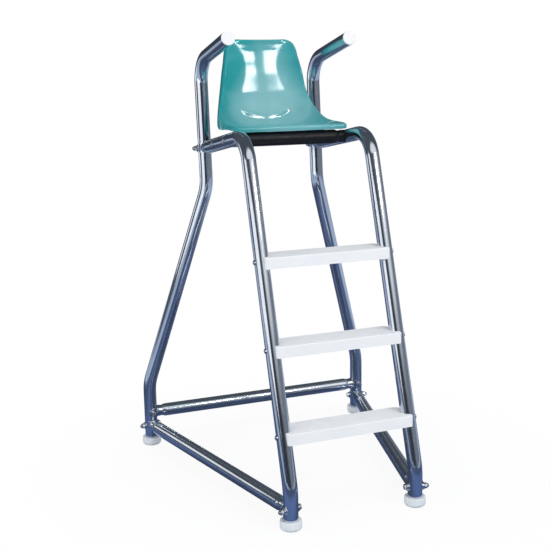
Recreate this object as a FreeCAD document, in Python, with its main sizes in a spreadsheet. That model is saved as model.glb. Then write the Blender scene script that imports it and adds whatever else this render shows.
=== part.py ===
import FreeCAD, Part
import math
import os
import Sketcher

Vector = FreeCAD.Vector
Placement = FreeCAD.Placement
Rotation = FreeCAD.Rotation

# Driving dimensions, in millimetres.
# The chair stands on z = 0, faces -Y, and x = 0 is its plane of symmetry.
SIZES = (
    ("tube_outer", 48.3, "outer diameter of the main tubes"),
    ("tube_wall", 1.65, "wall of the main tubes"),
    ("bend_radius", 96.6, "centre-line radius of the handle and rail bends"),
    ("leg_bend_radius", 190, "centre-line radius of the gentle bends in the legs"),
    ("frame_spacing", 444, "left frame to right frame, centre to centre"),
    ("rear_foot_spacing", 885, "rear foot to rear foot, centre to centre"),
    ("foot_run", 896, "front foot to rear foot, centre to centre"),
    ("stile_bend_height", 124, "where the ladder side turns upright above its foot"),
    ("corner_forward", 103, "upper corner of the ladder rail, ahead of the middle"),
    ("corner_height", 1212, "upper corner of the ladder rail"),
    ("rail_joint_rise", 141, "where the seat rail meets the rear upright, above the knee"),
    ("leg_bend_height", 245, "where the rear leg turns upright above its foot"),
    ("knee_height", 1004, "where the rear leg meets the upper upright"),
    ("knee_back", 336, "the same corner, behind the middle"),
    ("top_height", 1454.5, "upper corner of the rear upright"),
    ("top_back", 373, "the same corner, behind the middle"),
    ("handle_end_height", 1524.5, "end of the handle"),
    ("handle_end_back", 50, "the same end, behind the middle"),
    ("clearance", 0.3, "gap between round faces that lie in each other"),
    ("ear_wall", 3.2, "wall of the ears of a forked tube end"),
    ("ear_radius", 14, "rounded tip of an ear"),
    ("neck_outer", 40.5, "narrowest diameter behind a forked tube end"),
    ("socket_length", 62, "forked or coped end, from the axis of the tube it meets"),
    ("boss_outer", 24, "flat boss under a washer"),
    ("boss_height", 2.2, "height of that boss over the ear"),
    ("bolt_outer", 10, "frame bolt"),
    ("washer_outer", 20, "frame washer"),
    ("washer_thickness", 2, "frame washer"),
    ("head_across", 17, "frame bolt head and cap nut, across the flats"),
    ("head_height", 6.4, "frame bolt head"),
    ("nut_hex_height", 8, "hexagon of a cap nut"),
    ("nut_dome_outer", 15, "dome of a cap nut"),
    ("nut_height", 15.5, "cap nut to the top of its dome"),
    ("thread_length", 10, "bolt end inside a cap nut"),
    ("rail_head_outer", 18, "round head of a rail bolt"),
    ("rail_head_height", 5, "round head of a rail bolt"),
    ("rail_washer_outer", 21, "saddle washer of a rail bolt"),
    ("saddle_thickness", 1.5, "saddle washers, over the crest of their tube"),
    ("side_brace_front_height", 64, "side brace at the ladder side"),
    ("side_brace_rear_height", 77, "side brace at the rear leg"),
    ("cross_brace_height", 129, "rear cross brace"),
    ("seat_tube_back", 60, "seat cross tube, behind the middle"),
    ("cap_outer", 71, "foot cap"),
    ("cap_height", 30, "foot cap"),
    ("cap_floor", 6, "foot cap under the tube"),
    ("cap_round", 9, "rounding of the foot cap at the floor"),
    ("cap_edge", 3, "rounding of the upper edge of the foot cap"),
    ("plug_flange", 5, "visible part of a handle plug"),
    ("plug_stem", 26, "hidden part of a handle plug"),
    ("plug_round", 2.5, "rounding of a handle plug"),
    ("tread_low_top", 305, "top of the lowest tread"),
    ("tread_middle_top", 566, "top of the middle tread"),
    ("tread_high_top", 836, "top of the highest tread"),
    ("tread_height", 37, "tread, top to underside"),
    ("tread_front", 44.4, "front of a tread ahead of the ladder tube's axis, at its top"),
    ("tread_depth", 104, "tread, front to back"),
    ("tread_wall", 4, "wall of a tread"),
    ("tread_front_corner", 11, "front corner radius of a tread"),
    ("tread_rear_corner", 30, "rear corner radius of a tread"),
    ("tread_edge", 3, "rounding of the upper edge of a tread"),
    ("tread_end_wall", 14, "solid end of a tread inside its ladder tube"),
    ("tread_rib", 3, "rib inside a tread"),
    ("tread_cells", 6, "hollow cells along a tread"),
    ("tread_front_cell", 58, "front row of cells, front to back"),
    ("tread_bolt_outer", 8, "tread bolt"),
    ("tread_head_outer", 15, "round head of a tread bolt"),
    ("tread_head_height", 4.5, "round head of a tread bolt"),
    ("tread_washer_outer", 17, "washers of a tread bolt"),
    ("tread_washer_thickness", 1.6, "flat washer of a tread bolt"),
    ("tread_nut_across", 13, "nut of a tread bolt"),
    ("tread_nut_height", 6.5, "nut of a tread bolt"),
    ("strap_width", 38, "seat strap"),
    ("strap_thickness", 4, "seat strap"),
    ("strap_length", 160, "seat strap"),
    ("strap_ahead", 10, "seat strap ahead of the axis of the seat cross tube"),
    ("strap_spacing", 220, "strap to strap, centre to centre"),
    ("rear_bar_run", 127, "seat cross tube to rear bar, along the rails"),
    ("rear_bar_width", 30, "rear bar, along the rails"),
    ("rear_bar_drop", 13, "rear bar below the axis of the rails"),
    ("rear_bar_end", 14, "rear bar, from its end to the axis of the rail"),
    ("rear_bar_block", 40, "solid end of the rear bar"),
    ("rear_bar_wall", 5, "rear bar"),
    ("screw_outer", 6, "strap screw"),
    ("screw_length", 14, "strap screw, under its head"),
    ("screw_head_outer", 11, "strap screw"),
    ("screw_head_height", 2.6, "strap screw"),
    ("shell_wall", 5, "seat shell"),
    ("flange_depth", 34, "flange round the seat shell, at its deepest"),
    ("shell_pad", 3, "pads under the seat shell"),
    ("shell_pad_outer", 34, "pads under the seat shell"),
    ("seat_width", 427, "seat shell at its widest"),
    ("seat_depth", 255.8, "seating surface, front lip to the top of the back, along the rails"),
    ("back_height", 348.6, "seat shell, pan to the top of the back, square to the rails"),
    ("lip_ahead", 33.5, "front lip ahead of the axis of the seat cross tube"),
    ("seat_bolt_outer", 8, "seat bolt"),
    ("seat_head_outer", 17, "domed head of a seat bolt"),
    ("seat_head_height", 4.5, "domed head of a seat bolt"),
    ("seat_nut_across", 13, "nut of a seat bolt"),
    ("seat_nut_height", 6.5, "nut of a seat bolt"),
    ("seat_bolt_front", 34, "front seat bolts, behind the axis of the seat cross tube"),
    ("seat_bolt_rear", 98, "rear seat bolts, behind the axis of the seat cross tube"),
    ("seat_washer_outer", 17, "washer of a seat bolt"),
    ("seat_washer_thickness", 1.6, "washer of a seat bolt"),
)

SIDES = (("left", -1), ("right", 1))

doc = FreeCAD.newDocument("lifeguard_chair")
sheet = doc.addObject("Spreadsheet::Sheet", "sizes")
for row, (alias, value, meaning) in enumerate(SIZES, start=1):
    sheet.set(f"A{row}", meaning)
    sheet.set(f"B{row}", str(value))
    sheet.setAlias(f"B{row}", alias)
doc.recompute()

size = {alias: float(sheet.get(alias)) for alias, value, meaning in SIZES}

subparts = []


def keep(piece, label):
    """Name a finished sub-part and list it for the export."""
    piece.Label = label
    subparts.append(piece)
    return piece


def solid_part(label, shape):
    """A sub-part whose shape is worked out from the sheet in this file."""
    piece = doc.addObject("Part::Feature", label)
    piece.Shape = shape
    return keep(piece, label)


# Tubes

tube_radius = size["tube_outer"] / 2
bore_radius = tube_radius - size["tube_wall"]
seat_radius = tube_radius + size["clearance"]


def bent_path(points, radii):
    """Straight runs through the points, joined by tangent arcs."""
    edges = []
    start = points[0]
    for before, corner, after, radius in zip(points, points[1:], points[2:], radii):
        arriving = (corner - before).normalize()
        leaving = (after - corner).normalize()
        half_turn = arriving.getAngle(leaving) / 2
        reach = radius * math.tan(half_turn)
        arc_start = corner - arriving * reach
        arc_end = corner + leaving * reach
        inward = (leaving - arriving).normalize()
        crown = corner + inward * (radius / math.cos(half_turn) - radius)
        edges.append(Part.LineSegment(start, arc_start).toShape())
        edges.append(Part.Arc(arc_start, crown, arc_end).toShape())
        start = arc_end
    edges.append(Part.LineSegment(start, points[-1]).toShape())
    return Part.Wire(edges)


def swept_rod(path, points, radius):
    direction = points[1] - points[0]
    circle = Part.Wire(Part.Circle(points[0], direction, radius).toShape())
    return path.makePipeShell([circle], True, False)


def bent_tube(points, radii):
    path = bent_path(points, radii)
    outside = swept_rod(path, points, tube_radius)
    inside = swept_rod(path, points, bore_radius)
    return outside.cut(inside)


def straight_rod(start, end, radius):
    along = end - start
    return Part.makeCylinder(radius, along.Length, start, along)


def frame_x(side):
    return side * size["frame_spacing"] / 2


def point_between(lower, upper, height):
    """The point at a height on the line through two points."""
    share = (height - lower.z) / (upper.z - lower.z)
    return lower + (upper - lower) * share


def upright_points(side):
    foot_x = side * size["rear_foot_spacing"] / 2
    foot_y = size["foot_run"] / 2
    return [
        Vector(foot_x, foot_y, size["cap_floor"]),
        Vector(foot_x, foot_y, size["leg_bend_height"]),
        Vector(frame_x(side), size["knee_back"], size["knee_height"]),
        Vector(frame_x(side), size["top_back"], size["top_height"]),
        Vector(frame_x(side), size["handle_end_back"], size["handle_end_height"]),
    ]


def rail_joint(side):
    points = upright_points(side)
    return point_between(points[2], points[3], size["knee_height"] + size["rail_joint_rise"])


def rail_points(side):
    foot_y = -size["foot_run"] / 2
    return [
        Vector(frame_x(side), foot_y, size["cap_floor"]),
        Vector(frame_x(side), foot_y, size["stile_bend_height"]),
        Vector(frame_x(side), -size["corner_forward"], size["corner_height"]),
        rail_joint(side),
    ]


def stile_point(side, height):
    """A point of the slanting ladder side's centre line."""
    points = rail_points(side)
    return point_between(points[1], points[2], height)


# Forked and coped tube ends

class Joint:
    """A tube end that meets another tube: its own axes, at the crossing of the two centre lines."""

    def __init__(self, crossing, member, mate, outward):
        self.crossing = crossing
        self.mate = Vector(mate).normalize()
        self.along = Vector(member).normalize()
        across = self.mate.cross(self.along).normalize()
        if across.dot(outward) < 0:
            across = across * -1
        self.across = across
        self.upward = self.along.cross(self.across).normalize()

    def placed(self, shape):
        """Turn a shape drawn along +X, with its bolt along Y, into this joint's place."""
        turn = Rotation(self.along, self.across, self.upward, "XYZ")
        moved = shape.copy()
        moved.Placement = Placement(self.crossing, turn)
        return moved

    def mate_rod(self, radius):
        reach = 2 * size["tube_outer"]
        return straight_rod(self.crossing - self.mate * reach, self.crossing + self.mate * reach, radius)

    def bolt_hole(self, bolt_diameter):
        radius = bolt_diameter / 2 + size["clearance"]
        reach = size["tube_outer"]
        return straight_rod(self.crossing - self.across * reach, self.crossing + self.across * reach, radius)


def neck_blank():
    """Solid end of a tube with a waist, drawn along +X from the crossing."""
    root_radius = size["neck_outer"] / 2 + 1.5
    root_length = tube_radius + 5
    waist = size["socket_length"] * 0.68
    shoulder = size["socket_length"] - 3
    contour = Part.BSplineCurve()
    contour.interpolate(
        Points=[
            Vector(root_length, root_radius, 0),
            Vector(waist, size["neck_outer"] / 2, 0),
            Vector(shoulder, tube_radius, 0),
        ],
        InitialTangent=Vector(1, 0, 0),
        FinalTangent=Vector(1, 0, 0),
    )
    corners = [
        Vector(shoulder, tube_radius, 0),
        Vector(size["socket_length"], tube_radius, 0),
        Vector(size["socket_length"], 0, 0),
        Vector(0, 0, 0),
        Vector(0, root_radius, 0),
        Vector(root_length, root_radius, 0),
    ]
    edges = [contour.toShape()]
    edges += [Part.LineSegment(a, b).toShape() for a, b in zip(corners, corners[1:])]
    face = Part.Face(Part.Wire(Part.__sortEdges__(edges)))
    return face.revolve(Vector(0, 0, 0), Vector(1, 0, 0), 360)


def ear_blank():
    """Tongue seen along the bolt, drawn in the XZ plane and as wide as the fork."""
    width = 2 * (seat_radius + size["ear_wall"] + size["boss_height"])
    root = tube_radius + 8
    half_root = size["neck_outer"] / 2
    tip = size["ear_radius"]
    outline = Part.makePolygon([
        Vector(0, -width / 2, -tip),
        Vector(root, -width / 2, -half_root),
        Vector(root, -width / 2, half_root),
        Vector(0, -width / 2, tip),
        Vector(0, -width / 2, -tip),
    ])
    tongue = Part.Face(outline).extrude(Vector(0, width, 0))
    round_tip = Part.makeCylinder(tip, width, Vector(0, -width / 2, 0), Vector(0, 1, 0))
    return tongue.fuse(round_tip)


def boss_reach():
    """Distance from the crossing to the flat under a washer."""
    return seat_radius + size["ear_wall"] + size["boss_height"]


def forked_end(joint):
    ears = joint.placed(ear_blank()).common(joint.mate_rod(seat_radius + size["ear_wall"]))
    boss = Part.makeCylinder(
        size["boss_outer"] / 2, 2 * boss_reach(), Vector(0, -boss_reach(), 0), Vector(0, 1, 0))
    end = joint.placed(neck_blank()).fuse([ears, joint.placed(boss)])
    end = end.cut(joint.mate_rod(seat_radius))
    return end.cut(joint.bolt_hole(size["bolt_outer"]))


def joint_along(joint, distance):
    return joint.crossing + joint.along * distance


def member_between(first, last, end_maker):
    """A straight tube whose two ends meet other tubes."""
    start = joint_along(first, size["socket_length"])
    end = joint_along(last, size["socket_length"])
    pipe = straight_rod(start, end, tube_radius).cut(straight_rod(start, end, bore_radius))
    return pipe.fuse([end_maker(first), end_maker(last)]).removeSplitter()


# Joints of the frame

UP = Vector(0, 0, 1)
REAR = Vector(0, 1, 0)
RIGHT = Vector(1, 0, 0)

rail_joints = {}
brace_joints = {}
cross_joints = {}
seat_tube_joints = {}

for name, side in SIDES:
    outward = RIGHT * side
    upright = upright_points(side)
    rail = rail_points(side)
    rail_joints[name] = Joint(rail[3], rail[2] - rail[3], upright[3] - upright[2], outward)

    front = Vector(rail[0].x, rail[0].y, size["side_brace_front_height"])
    rear = Vector(upright[0].x, upright[0].y, size["side_brace_rear_height"])
    brace_joints[name, "front"] = Joint(front, rear - front, UP, outward)
    brace_joints[name, "rear"] = Joint(rear, front - rear, UP, outward)

    leg = Vector(upright[0].x, upright[0].y, size["cross_brace_height"])
    cross_joints[name] = Joint(leg, outward * -1, UP, REAR)

    rail_direction = rail[3] - rail[2]
    share = (size["seat_tube_back"] - rail[2].y) / rail_direction.y
    on_rail = rail[2] + rail_direction * share
    seat_tube_joints[name] = Joint(on_rail, outward * -1, rail_direction, UP)

# The deck carries the seat: its own Y runs back along the rails, its Z stands square on them.
deck_slope = (rail_points(1)[3] - rail_points(1)[2]).normalize()
deck_origin = Vector(0, seat_tube_joints["left"].crossing.y, seat_tube_joints["left"].crossing.z)
deck = Placement(deck_origin, Rotation(RIGHT, deck_slope, RIGHT.cross(deck_slope), "XYZ"))


def on_deck(x, back, up):
    return deck.multVec(Vector(x, back, up))


# Places of the smaller fasteners

TREADS = (
    ("tread_low", "tread_low_top"),
    ("tread_middle", "tread_middle_top"),
    ("tread_high", "tread_high_top"),
)


def tread_bolt_point(side, top_alias):
    return stile_point(side, size[top_alias] - size["tread_height"] / 2)


def rail_bolt_point(side, back):
    return on_deck(frame_x(side), back, 0)


def lateral_hole(point, diameter):
    """A hole along X through the tube at this point."""
    reach = RIGHT * size["tube_outer"]
    return straight_rod(point - reach, point + reach, diameter / 2 + size["clearance"])


def deck_hole(x, back, depth, diameter):
    """A hole from above the seat straps down square to the rails."""
    top = on_deck(x, back, STRAP_TOP + 1)
    return straight_rod(top, on_deck(x, back, STRAP_TOP - depth), diameter / 2 + size["clearance"])


STRAP_BOTTOM = tube_radius
STRAP_TOP = STRAP_BOTTOM + size["strap_thickness"]
STRAP_X = size["strap_spacing"] / 2
CROSS_BEARERS = (0, size["rear_bar_run"])
SEAT_BOLTS = (size["seat_bolt_front"], size["seat_bolt_rear"])
TAPPED_DEPTH = tube_radius + 26

# Rear uprights

for name, side in SIDES:
    radii = [size["leg_bend_radius"], size["leg_bend_radius"], size["bend_radius"]]
    upright = bent_tube(upright_points(side), radii)
    for joint in (rail_joints[name], brace_joints[name, "rear"], cross_joints[name]):
        upright = upright.cut(joint.bolt_hole(size["bolt_outer"]))
    solid_part(f"rear_upright_{name}", upright)

# Ladder rails: ladder side and seat rail in one tube

for name, side in SIDES:
    joint = rail_joints[name]
    points = rail_points(side)
    points[3] = joint_along(joint, size["socket_length"])
    radii = [size["leg_bend_radius"], size["bend_radius"]]
    rail = bent_tube(points, radii).fuse(forked_end(joint)).removeSplitter()
    rail = rail.cut(brace_joints[name, "front"].bolt_hole(size["bolt_outer"]))
    for back in CROSS_BEARERS:
        rail = rail.cut(lateral_hole(rail_bolt_point(side, back), size["bolt_outer"]))
    for tread, top_alias in TREADS:
        rail = rail.cut(lateral_hole(tread_bolt_point(side, top_alias), size["tread_bolt_outer"]))
    solid_part(f"ladder_rail_{name}", rail)

# Braces near the floor

for name, side in SIDES:
    brace = member_between(brace_joints[name, "front"], brace_joints[name, "rear"], forked_end)
    solid_part(f"side_brace_{name}", brace)

cross_brace = member_between(cross_joints["left"], cross_joints["right"], forked_end)
solid_part("rear_cross_brace", cross_brace)

# Bearers of the seat


def coped_end(joint):
    """A tube end cut to the tube it butts on, tapped along its own axis."""
    end = joint.placed(neck_blank()).cut(joint.mate_rod(seat_radius))
    tapped_radius = size["bolt_outer"] / 2 + size["clearance"]
    return end.cut(straight_rod(joint.crossing, joint_along(joint, TAPPED_DEPTH), tapped_radius))


seat_tube = member_between(seat_tube_joints["left"], seat_tube_joints["right"], coped_end)
for x in (-STRAP_X, STRAP_X):
    seat_tube = seat_tube.cut(deck_hole(x, 0, tube_radius, size["screw_outer"]))
solid_part("seat_cross_tube", seat_tube)


def rear_bar_shape():
    """A channel, open below, with solid ends coped to the rails."""
    half = size["frame_spacing"] / 2 - size["rear_bar_end"]
    width = size["rear_bar_width"]
    wall = size["rear_bar_wall"]
    height = STRAP_BOTTOM + size["rear_bar_drop"]
    front = size["rear_bar_run"] - width / 2
    bar = Part.makeBox(2 * half, width, height, Vector(-half, front, -size["rear_bar_drop"]))
    inner_half = half - size["rear_bar_block"]
    hollow = Part.makeBox(
        2 * inner_half, width - 2 * wall, height - wall,
        Vector(-inner_half, front + wall, -size["rear_bar_drop"]))
    bar = bar.cut(hollow)
    for side in (-1, 1):
        middle = Vector(side * size["frame_spacing"] / 2, size["rear_bar_run"], 0)
        bar = bar.cut(straight_rod(middle - REAR * width, middle + REAR * width, seat_radius))
        tapped_end = middle - RIGHT * side * TAPPED_DEPTH
        bar = bar.cut(straight_rod(middle, tapped_end, size["bolt_outer"] / 2 + size["clearance"]))
    bar.Placement = deck
    return bar


rear_bar = rear_bar_shape()
for x in (-STRAP_X, STRAP_X):
    rear_bar = rear_bar.cut(deck_hole(x, size["rear_bar_run"], tube_radius, size["screw_outer"]))
solid_part("seat_rear_bar", rear_bar)

# Sketch helpers


def measure(expression):
    return float(sheet.evalExpression(expression))


def sketch_on(body, role, label):
    sketch = body.newObject("Sketcher::SketchObject", label)
    plane = next(item for item in body.Origin.OriginFeatures if item.Role == role)
    sketch.AttachmentSupport = [(plane, "")]
    sketch.MapMode = "FlatFace"
    return sketch


def bind(sketch, constraint, expression):
    index = sketch.addConstraint(constraint)
    sketch.setExpression(f"Constraints[{index}]", with_sheet(expression))


def with_sheet(expression):
    """Put the sheet's name before each of its aliases."""
    words = expression.split()
    return " ".join("sizes." + word if word in size else word for word in words)


def fix_point(sketch, geometry, position, across, upward):
    for kind, other_axis, expression in (("DistanceX", -2, across), ("DistanceY", -1, upward)):
        value = measure(expression)
        if abs(value) < 1e-9:
            sketch.addConstraint(Sketcher.Constraint("PointOnObject", geometry, position, other_axis))
        else:
            bind(sketch, Sketcher.Constraint(kind, -1, 1, geometry, position, value), expression)


def draw_outline(sketch, corners):
    """A closed run of lines whose corners follow expressions."""
    places = [Vector(measure(across), measure(upward), 0) for across, upward in corners]
    first = sketch.GeometryCount
    for start, end in zip(places, places[1:] + places[:1]):
        sketch.addGeometry(Part.LineSegment(start, end))
    for number, (across, upward) in enumerate(corners):
        line = first + number
        following = first + (number + 1) % len(corners)
        sketch.addConstraint(Sketcher.Constraint("Coincident", line, 2, following, 1))
        fix_point(sketch, line, 1, across, upward)


def draw_circle(sketch, across, upward, diameter):
    middle = Vector(measure(across), measure(upward), 0)
    circle = sketch.addGeometry(Part.Circle(middle, Vector(0, 0, 1), measure(diameter) / 2))
    fix_point(sketch, circle, 3, across, upward)
    bind(sketch, Sketcher.Constraint("Diameter", circle, measure(diameter)), diameter)


def extrude(body, kind, sketch, length, label):
    feature = body.newObject(f"PartDesign::{kind}", label)
    feature.Profile = sketch
    feature.setExpression("Length", with_sheet(length))
    return feature


def round_edges(body, feature, radius, belongs, label):
    doc.recompute()
    edges = feature.Shape.Edges
    picked = [f"Edge{number}" for number, edge in enumerate(edges, start=1) if belongs(edge)]
    fillet = body.newObject("PartDesign::Fillet", label)
    fillet.Base = (feature, picked)
    fillet.setExpression("Radius", with_sheet(radius))
    return fillet


def turned_body(label, corners):
    """A body turned about Z from an outline in its XZ plane."""
    body = doc.addObject("PartDesign::Body", label)
    sketch = sketch_on(body, "XZ_Plane", f"{label}_outline")
    draw_outline(sketch, corners)
    turned = body.newObject("PartDesign::Revolution", f"{label}_turned")
    turned.Profile = sketch
    turned.ReferenceAxis = (sketch, ["V_Axis"])
    turned.Angle = 360
    doc.recompute()
    return body, turned


def level_circle(height, radius):
    """A test for a round edge about the body's own Z axis."""
    def belongs(edge):
        curve = edge.Curve
        if not isinstance(curve, Part.Circle):
            return False
        return abs(curve.Center.z - height) < 1e-4 and abs(curve.Radius - radius) < 1e-4
    return belongs


# Foot caps


def make_foot_cap(label, foot):
    body, turned = turned_body(label, [
        ("0", "0"),
        ("cap_outer / 2", "0"),
        ("cap_outer / 2", "cap_height"),
        ("tube_outer / 2 + clearance", "cap_height"),
        ("tube_outer / 2 + clearance", "cap_floor"),
        ("0", "cap_floor"),
    ])
    radius = size["cap_outer"] / 2
    lower = round_edges(body, turned, "cap_round", level_circle(0, radius), f"{label}_lower_round")
    upper_edge = level_circle(size["cap_height"], radius)
    round_edges(body, lower, "cap_edge", upper_edge, f"{label}_upper_round")
    body.Placement = Placement(Vector(foot.x, foot.y, 0), Rotation())
    keep(body, label)


for name, side in SIDES:
    make_foot_cap(f"foot_cap_front_{name}", rail_points(side)[0])
    make_foot_cap(f"foot_cap_rear_{name}", upright_points(side)[0])

# Handle plugs

for name, side in SIDES:
    label = f"handle_plug_{name}"
    body, turned = turned_body(label, [
        ("0", "0 - plug_stem"),
        ("tube_outer / 2 - tube_wall - clearance", "0 - plug_stem"),
        ("tube_outer / 2 - tube_wall - clearance", "0"),
        ("tube_outer / 2", "0"),
        ("tube_outer / 2", "plug_flange"),
        ("0", "plug_flange"),
    ])
    outer_edge = level_circle(size["plug_flange"], tube_radius)
    round_edges(body, turned, "plug_round", outer_edge, f"{label}_round")
    points = upright_points(side)
    outward = points[4] - points[3]
    body.Placement = Placement(points[4], Rotation(Vector(0, 0, 1), outward))
    keep(body, label)

# Treads


def standing_corner(across, back):
    """A test for an upright edge at a corner of the tread's plan."""
    def belongs(edge):
        first, last = edge.Vertexes[0].Point, edge.Vertexes[-1].Point
        upright = abs(first.x - last.x) < 1e-4 and abs(first.y - last.y) < 1e-4
        return upright and abs(abs(first.x) - across) < 1e-4 and abs(first.y - back) < 1e-4
    return belongs


def tread_blank(label):
    """A tread without its cupped ends; its top front edge lies on the body's X axis."""
    body = doc.addObject("PartDesign::Body", f"{label}_blank")
    plan = sketch_on(body, "XY_Plane", f"{label}_plan")
    draw_outline(plan, [
        ("0 - frame_spacing / 2", "0"),
        ("frame_spacing / 2", "0"),
        ("frame_spacing / 2", "tread_depth"),
        ("0 - frame_spacing / 2", "tread_depth"),
    ])
    board = extrude(body, "Pad", plan, "tread_height", f"{label}_board")
    board.Reversed = True
    half = size["frame_spacing"] / 2
    front = round_edges(
        body, board, "tread_front_corner", standing_corner(half, 0), f"{label}_front_corners")
    rear = round_edges(
        body, front, "tread_rear_corner", standing_corner(half, size["tread_depth"]),
        f"{label}_rear_corners")

    def on_top(edge):
        return edge.BoundBox.ZMin > -1e-4
    top = round_edges(body, rear, "tread_edge", on_top, f"{label}_top_edge")

    inner_half = "( frame_spacing / 2 - tube_outer / 2 - clearance - tread_end_wall )"
    pitch = f"( 2 * {inner_half} + tread_rib ) / tread_cells"
    cell_left = f"0 - {inner_half}"
    cell_right = f"{cell_left} + {pitch} - tread_rib"
    rib_back = "tread_wall + tread_front_cell + tread_rib"
    cells = sketch_on(body, "XY_Plane", f"{label}_cells")
    rows = (
        ("tread_wall", "tread_wall + tread_front_cell"),
        (rib_back, "tread_depth - tread_wall"),
    )
    for near, far in rows:
        draw_outline(cells, [(cell_left, near), (cell_right, near), (cell_right, far), (cell_left, far)])
    cells.AttachmentOffset = Placement(Vector(0, 0, -size["tread_height"]), Rotation())
    cells.setExpression("AttachmentOffset.Base.z", "0 - sizes.tread_height")
    hollow = extrude(body, "Pocket", cells, "tread_height - tread_wall", f"{label}_hollow")
    hollow.Reversed = True
    doc.recompute()
    pattern = body.newObject("PartDesign::LinearPattern", f"{label}_hollows")
    pattern.Originals = [hollow]
    pattern.Direction = (cells, ["H_Axis"])
    pattern.setExpression("Length", with_sheet(f"( {pitch} ) * ( tread_cells - 1 )"))
    pattern.setExpression("Occurrences", "sizes.tread_cells")
    body.Tip = pattern
    doc.recompute()
    return body


def cylinder(label, diameter, height, placement):
    rod = doc.addObject("Part::Cylinder", label)
    rod.setExpression("Radius", with_sheet(f"( {diameter} ) / 2"))
    rod.setExpression("Height", with_sheet(height))
    rod.Placement = placement
    return rod


def tread_cutters(label, top_alias):
    """The ladder tubes with their clearance, and the bolt holes through the end walls."""
    cutters = []
    for name, side in SIDES:
        low = stile_point(side, size[top_alias] - 3 * size["tread_height"])
        slant = stile_point(side, size[top_alias]) - low
        cutters.append(cylinder(
            f"{label}_cup_{name}", "tube_outer + 2 * clearance", "5 * tread_height",
            Placement(low, Rotation(Vector(0, 0, 1), slant))))
        cutters.append(cylinder(
            f"{label}_hole_{name}", "tread_bolt_outer + 2 * clearance",
            "tube_outer / 2 + tread_end_wall + tread_rib",
            Placement(tread_bolt_point(side, top_alias), Rotation(Vector(0, 0, 1), RIGHT * -side))))
    joined = doc.addObject("Part::MultiFuse", f"{label}_cutters")
    joined.Shapes = cutters
    return joined


for label, top_alias in TREADS:
    blank = tread_blank(label)
    front_y = stile_point(1, size[top_alias]).y - size["tread_front"]
    blank.Placement = Placement(Vector(0, front_y, size[top_alias]), Rotation())
    tread = doc.addObject("Part::Cut", label)
    tread.Base = blank
    tread.Tool = tread_cutters(label, top_alias)
    keep(tread, label)

# Seat straps


def make_strap(label, x):
    body = doc.addObject("PartDesign::Body", label)
    plan = sketch_on(body, "XY_Plane", f"{label}_plan")
    front, rear = "0 - strap_ahead", "strap_length - strap_ahead"
    draw_outline(plan, [
        ("0 - strap_width / 2", front),
        ("strap_width / 2", front),
        ("strap_width / 2", rear),
        ("0 - strap_width / 2", rear),
    ])
    draw_circle(plan, "0", "0", "screw_outer + 2 * clearance")
    draw_circle(plan, "0", "rear_bar_run", "screw_outer + 2 * clearance")
    draw_circle(plan, "0", "seat_bolt_front", "seat_bolt_outer + 2 * clearance")
    draw_circle(plan, "0", "seat_bolt_rear", "seat_bolt_outer + 2 * clearance")
    bar = extrude(body, "Pad", plan, "strap_thickness", f"{label}_bar")

    def plan_corner(edge):
        first, last = edge.Vertexes[0].Point, edge.Vertexes[-1].Point
        along_z = abs(first.z - last.z) > 1 and abs(first.x - last.x) < 1e-4
        return along_z and isinstance(edge.Curve, Part.Line)
    round_edges(body, bar, "strap_width / 8", plan_corner, f"{label}_corners")
    body.Placement = Placement(on_deck(x, 0, STRAP_BOTTOM), deck.Rotation)
    keep(body, label)


for name, side in SIDES:
    make_strap(f"seat_strap_{name}", side * STRAP_X)

# Seat shell

# Each station goes across the shell. Its first five numbers are shares of the seat's half width,
# depth and height: half width, then back and up at the rim, then back and up on the centre line.
# The sixth says how late the section curls up towards the rim, the seventh is a share of the
# flange depth.
SHELL_STATIONS = (
    (0.927, 0.000, 0.014, 0.000, 0.013, 8, 0.47),
    (0.970, 0.013, 0.018, 0.019, 0.016, 7, 0.47),
    (0.991, 0.049, 0.025, 0.068, 0.012, 6, 0.47),
    (0.999, 0.110, 0.034, 0.136, 0.006, 5, 0.47),
    (1.000, 0.199, 0.047, 0.244, -0.001, 5, 0.48),
    (1.000, 0.326, 0.064, 0.390, 0.001, 5, 0.51),
    (0.995, 0.479, 0.087, 0.563, 0.004, 5, 0.65),
    (0.981, 0.620, 0.116, 0.721, 0.006, 5, 0.82),
    (0.963, 0.715, 0.149, 0.847, 0.025, 4.5, 0.97),
    (0.927, 0.793, 0.197, 0.942, 0.084, 4, 0.97),
    (0.888, 0.856, 0.256, 0.981, 0.165, 3.5, 0.88),
    (0.845, 0.909, 0.326, 1.002, 0.275, 3, 0.82),
    (0.803, 0.945, 0.411, 1.011, 0.383, 3, 0.79),
    (0.766, 0.961, 0.497, 1.017, 0.471, 3, 0.79),
    (0.728, 0.953, 0.638, 1.023, 0.655, 3, 0.79),
    (0.693, 0.962, 0.743, 1.019, 0.790, 3, 0.74),
    (0.670, 0.974, 0.817, 1.016, 0.863, 3, 0.68),
    (0.646, 0.980, 0.888, 1.012, 0.911, 3, 0.59),
    (0.595, 0.987, 0.946, 1.008, 0.952, 3, 0.50),
    (0.506, 0.995, 0.985, 1.003, 0.983, 3, 0.44),
    (0.393, 1.000, 1.000, 1.000, 1.000, 3, 0.41),
)
SHELL_COLUMNS = 15
PAN_UP = STRAP_TOP + size["shell_pad"] + size["shell_wall"]


def shell_point(station, share):
    """A point of the seating surface, in the frame of the deck."""
    half_width, rim_back, rim_up, centre_back, centre_up, curl, flange = station
    rise = abs(share) ** curl
    back = centre_back + (rim_back - centre_back) * rise
    up = centre_up + (rim_up - centre_up) * rise
    return Vector(
        share * half_width * size["seat_width"] / 2,
        back * size["seat_depth"] - size["lip_ahead"],
        PAN_UP + up * size["back_height"])


RIM = [shell_point(station, 1) for station in SHELL_STATIONS]


def away_from_sitter(number):
    """The way the flange turns at a station, square to the run of the rim."""
    run = RIM[min(number + 1, len(RIM) - 1)] - RIM[max(number - 1, 0)]
    return Vector(0, run.z, -run.y).normalize()


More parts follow.
